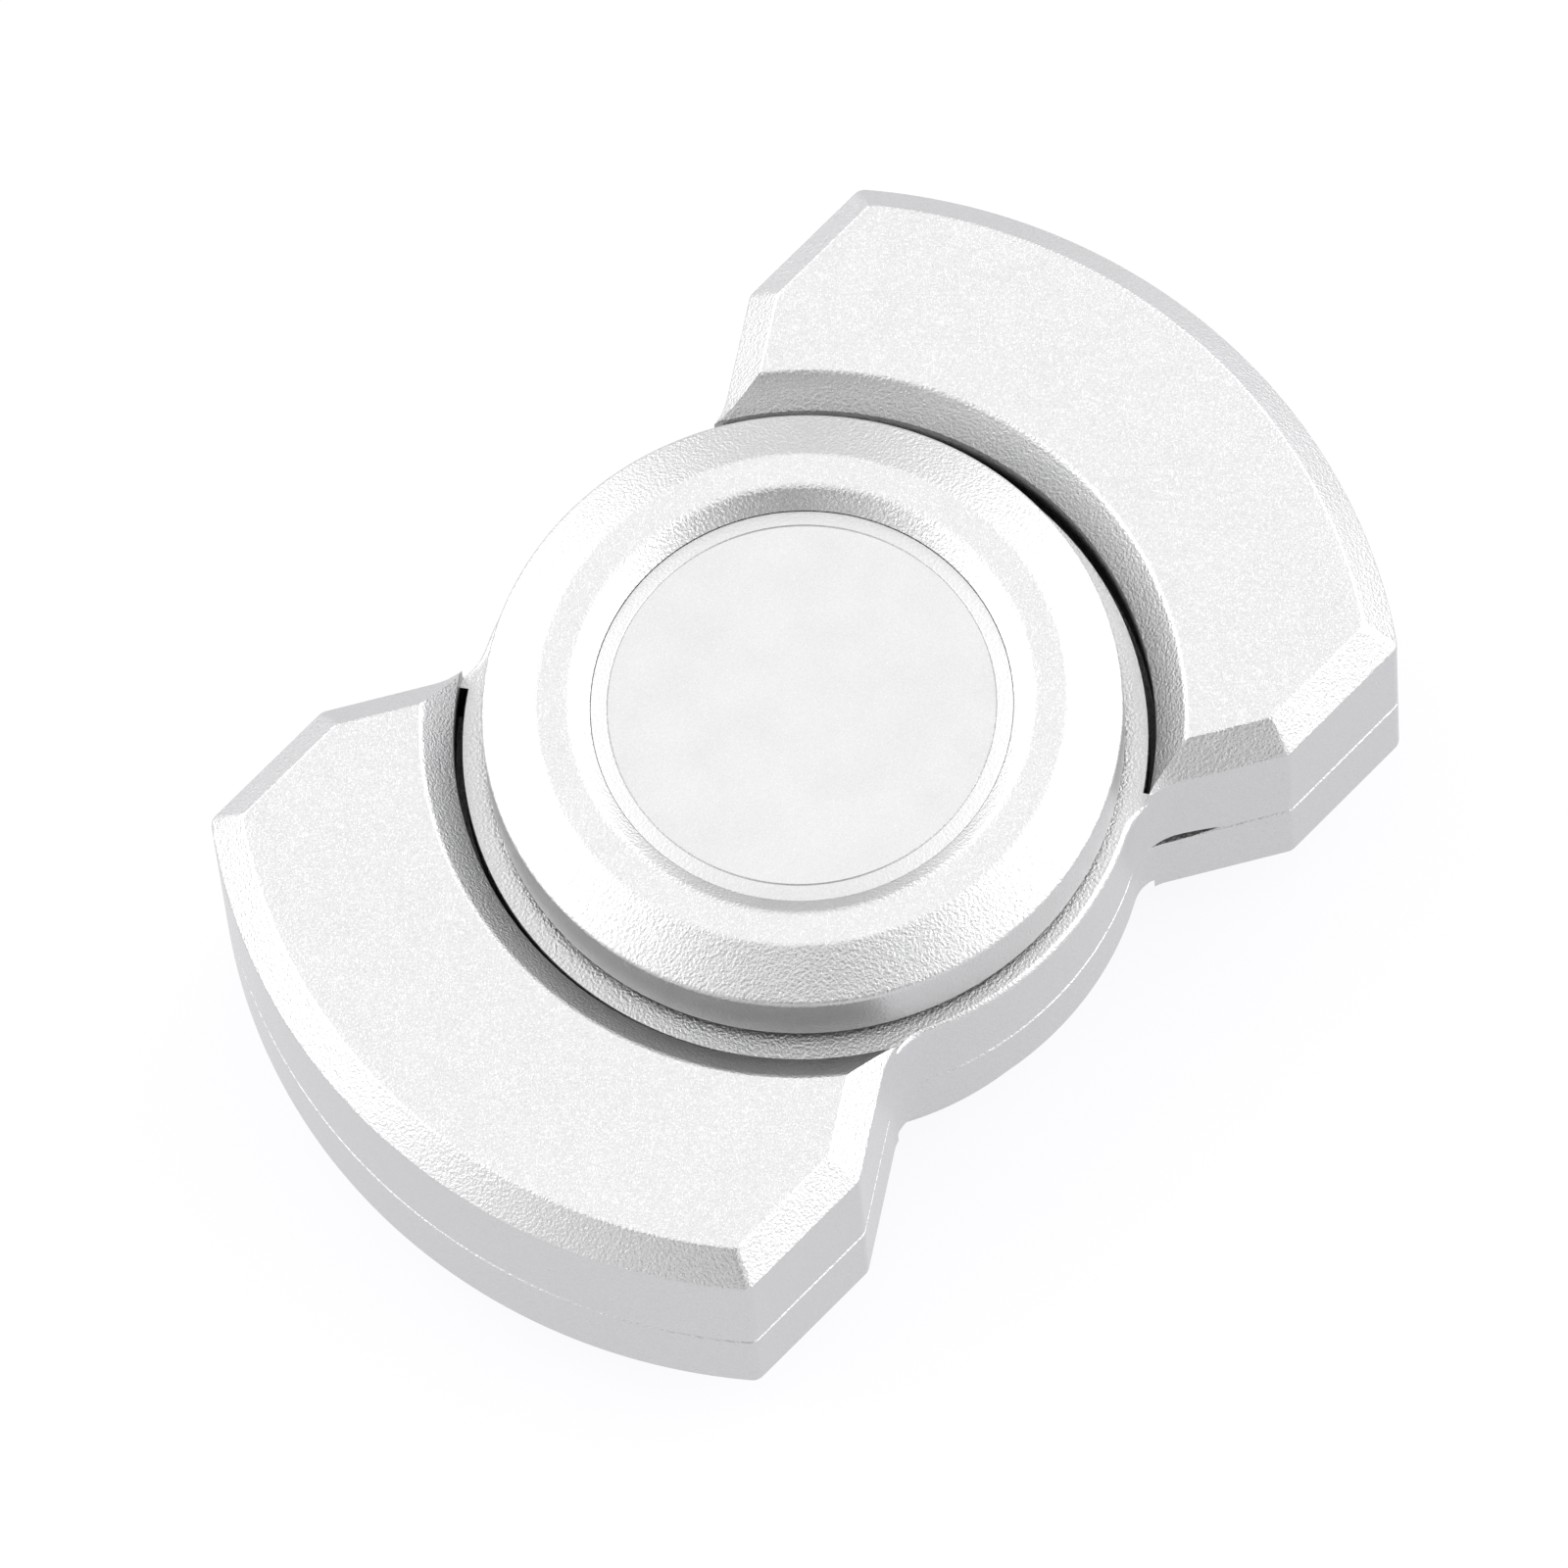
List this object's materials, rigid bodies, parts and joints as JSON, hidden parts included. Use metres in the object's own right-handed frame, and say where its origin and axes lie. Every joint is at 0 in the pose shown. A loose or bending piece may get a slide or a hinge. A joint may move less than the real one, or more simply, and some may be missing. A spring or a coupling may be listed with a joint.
{
  "type": "fidget spinner",
  "caption": "Two-lobed bead-blasted metal hand spinner: split lobed body turning freely on a ball bearing between two dished finger buttons.",
  "frame": {"origin": "centre of the ball bearing, halfway between the two buttons' rims", "axes": "+Z along the spin axis towards the upper button, +X along the body's length through the right lobe's tip"},
  "size_m": [0.05, 0.031, 0.018],
  "materials": {
    "blasted_aluminium": "bead-blasted satin silver",
    "inlay_aluminium": "fine blasted satin silver with a turned bright edge",
    "bearing_steel": "ground bearing steel",
    "shield_steel": "pressed satin steel",
    "ball_steel": "polished",
    "screw_steel": "satin steel",
    "brass": "machined",
    "cage_nylon": "moulded"
  },
  "bodies": {
    "button": {"top_button": "blasted_aluminium", "bottom_button": "blasted_aluminium", "top_inlay": "inlay_aluminium", "bottom_inlay": "inlay_aluminium", "top_spacer": "bearing_steel", "bottom_spacer": "bearing_steel", "bearing_inner_race": "bearing_steel"},
    "rotor": {"upper_shell": "blasted_aluminium", "lower_shell": "blasted_aluminium", "left_counterweight": "brass", "right_counterweight": "brass", "shell_screws": "screw_steel", "dowel_pins": "screw_steel", "bearing_outer_race": "bearing_steel", "top_bearing_shield": "shield_steel", "bottom_bearing_shield": "shield_steel"},
    "cage": {"bearing_cage": "cage_nylon"},
    "rolling_ball_1": {"ball_1": "ball_steel"},
    "rolling_ball_2": {"ball_2": "ball_steel"},
    "rolling_ball_3": {"ball_3": "ball_steel"},
    "rolling_ball_4": {"ball_4": "ball_steel"},
    "rolling_ball_5": {"ball_5": "ball_steel"},
    "rolling_ball_6": {"ball_6": "ball_steel"},
    "rolling_ball_7": {"ball_7": "ball_steel"}
  },
  "joints": [
    {"name": "rotor_spin", "type": "hinge", "parent": "button", "child": "rotor", "pos_m": [0, 0, 0], "axis": [0, 0, 1], "continuous": true},
    {"name": "cage_spin", "type": "hinge", "parent": "button", "child": "cage", "pos_m": [0, 0, 0], "axis": [0, 0, 1], "continuous": true},
    {"name": "ball_1_spin", "type": "hinge", "parent": "cage", "child": "rolling_ball_1", "pos_m": [0.0075, 0, 0], "axis": [0, 0, 1], "continuous": true},
    {"name": "ball_2_spin", "type": "hinge", "parent": "cage", "child": "rolling_ball_2", "pos_m": [0.00468, 0.00586, 0], "axis": [0, 0, 1], "continuous": true},
    {"name": "ball_3_spin", "type": "hinge", "parent": "cage", "child": "rolling_ball_3", "pos_m": [-0.00167, 0.00731, 0], "axis": [0, 0, 1], "continuous": true},
    {"name": "ball_4_spin", "type": "hinge", "parent": "cage", "child": "rolling_ball_4", "pos_m": [-0.00676, 0.00325, 0], "axis": [0, 0, 1], "continuous": true},
    {"name": "ball_5_spin", "type": "hinge", "parent": "cage", "child": "rolling_ball_5", "pos_m": [-0.00676, -0.00325, 0], "axis": [0, 0, 1], "continuous": true},
    {"name": "ball_6_spin", "type": "hinge", "parent": "cage", "child": "rolling_ball_6", "pos_m": [-0.00167, -0.00731, 0], "axis": [0, 0, 1], "continuous": true},
    {"name": "ball_7_spin", "type": "hinge", "parent": "cage", "child": "rolling_ball_7", "pos_m": [0.00468, -0.00586, 0], "axis": [0, 0, 1], "continuous": true}
  ],
  "couplings": [
    {"joint": "cage_spin", "follows": "rotor_spin", "ratio": 0.6323},
    {"joint": "ball_1_spin", "follows": "rotor_spin", "ratio": 1.7573},
    {"joint": "ball_2_spin", "follows": "rotor_spin", "ratio": 1.7573},
    {"joint": "ball_3_spin", "follows": "rotor_spin", "ratio": 1.7573},
    {"joint": "ball_4_spin", "follows": "rotor_spin", "ratio": 1.7573},
    {"joint": "ball_5_spin", "follows": "rotor_spin", "ratio": 1.7573},
    {"joint": "ball_6_spin", "follows": "rotor_spin", "ratio": 1.7573},
    {"joint": "ball_7_spin", "follows": "rotor_spin", "ratio": 1.7573}
  ]
}
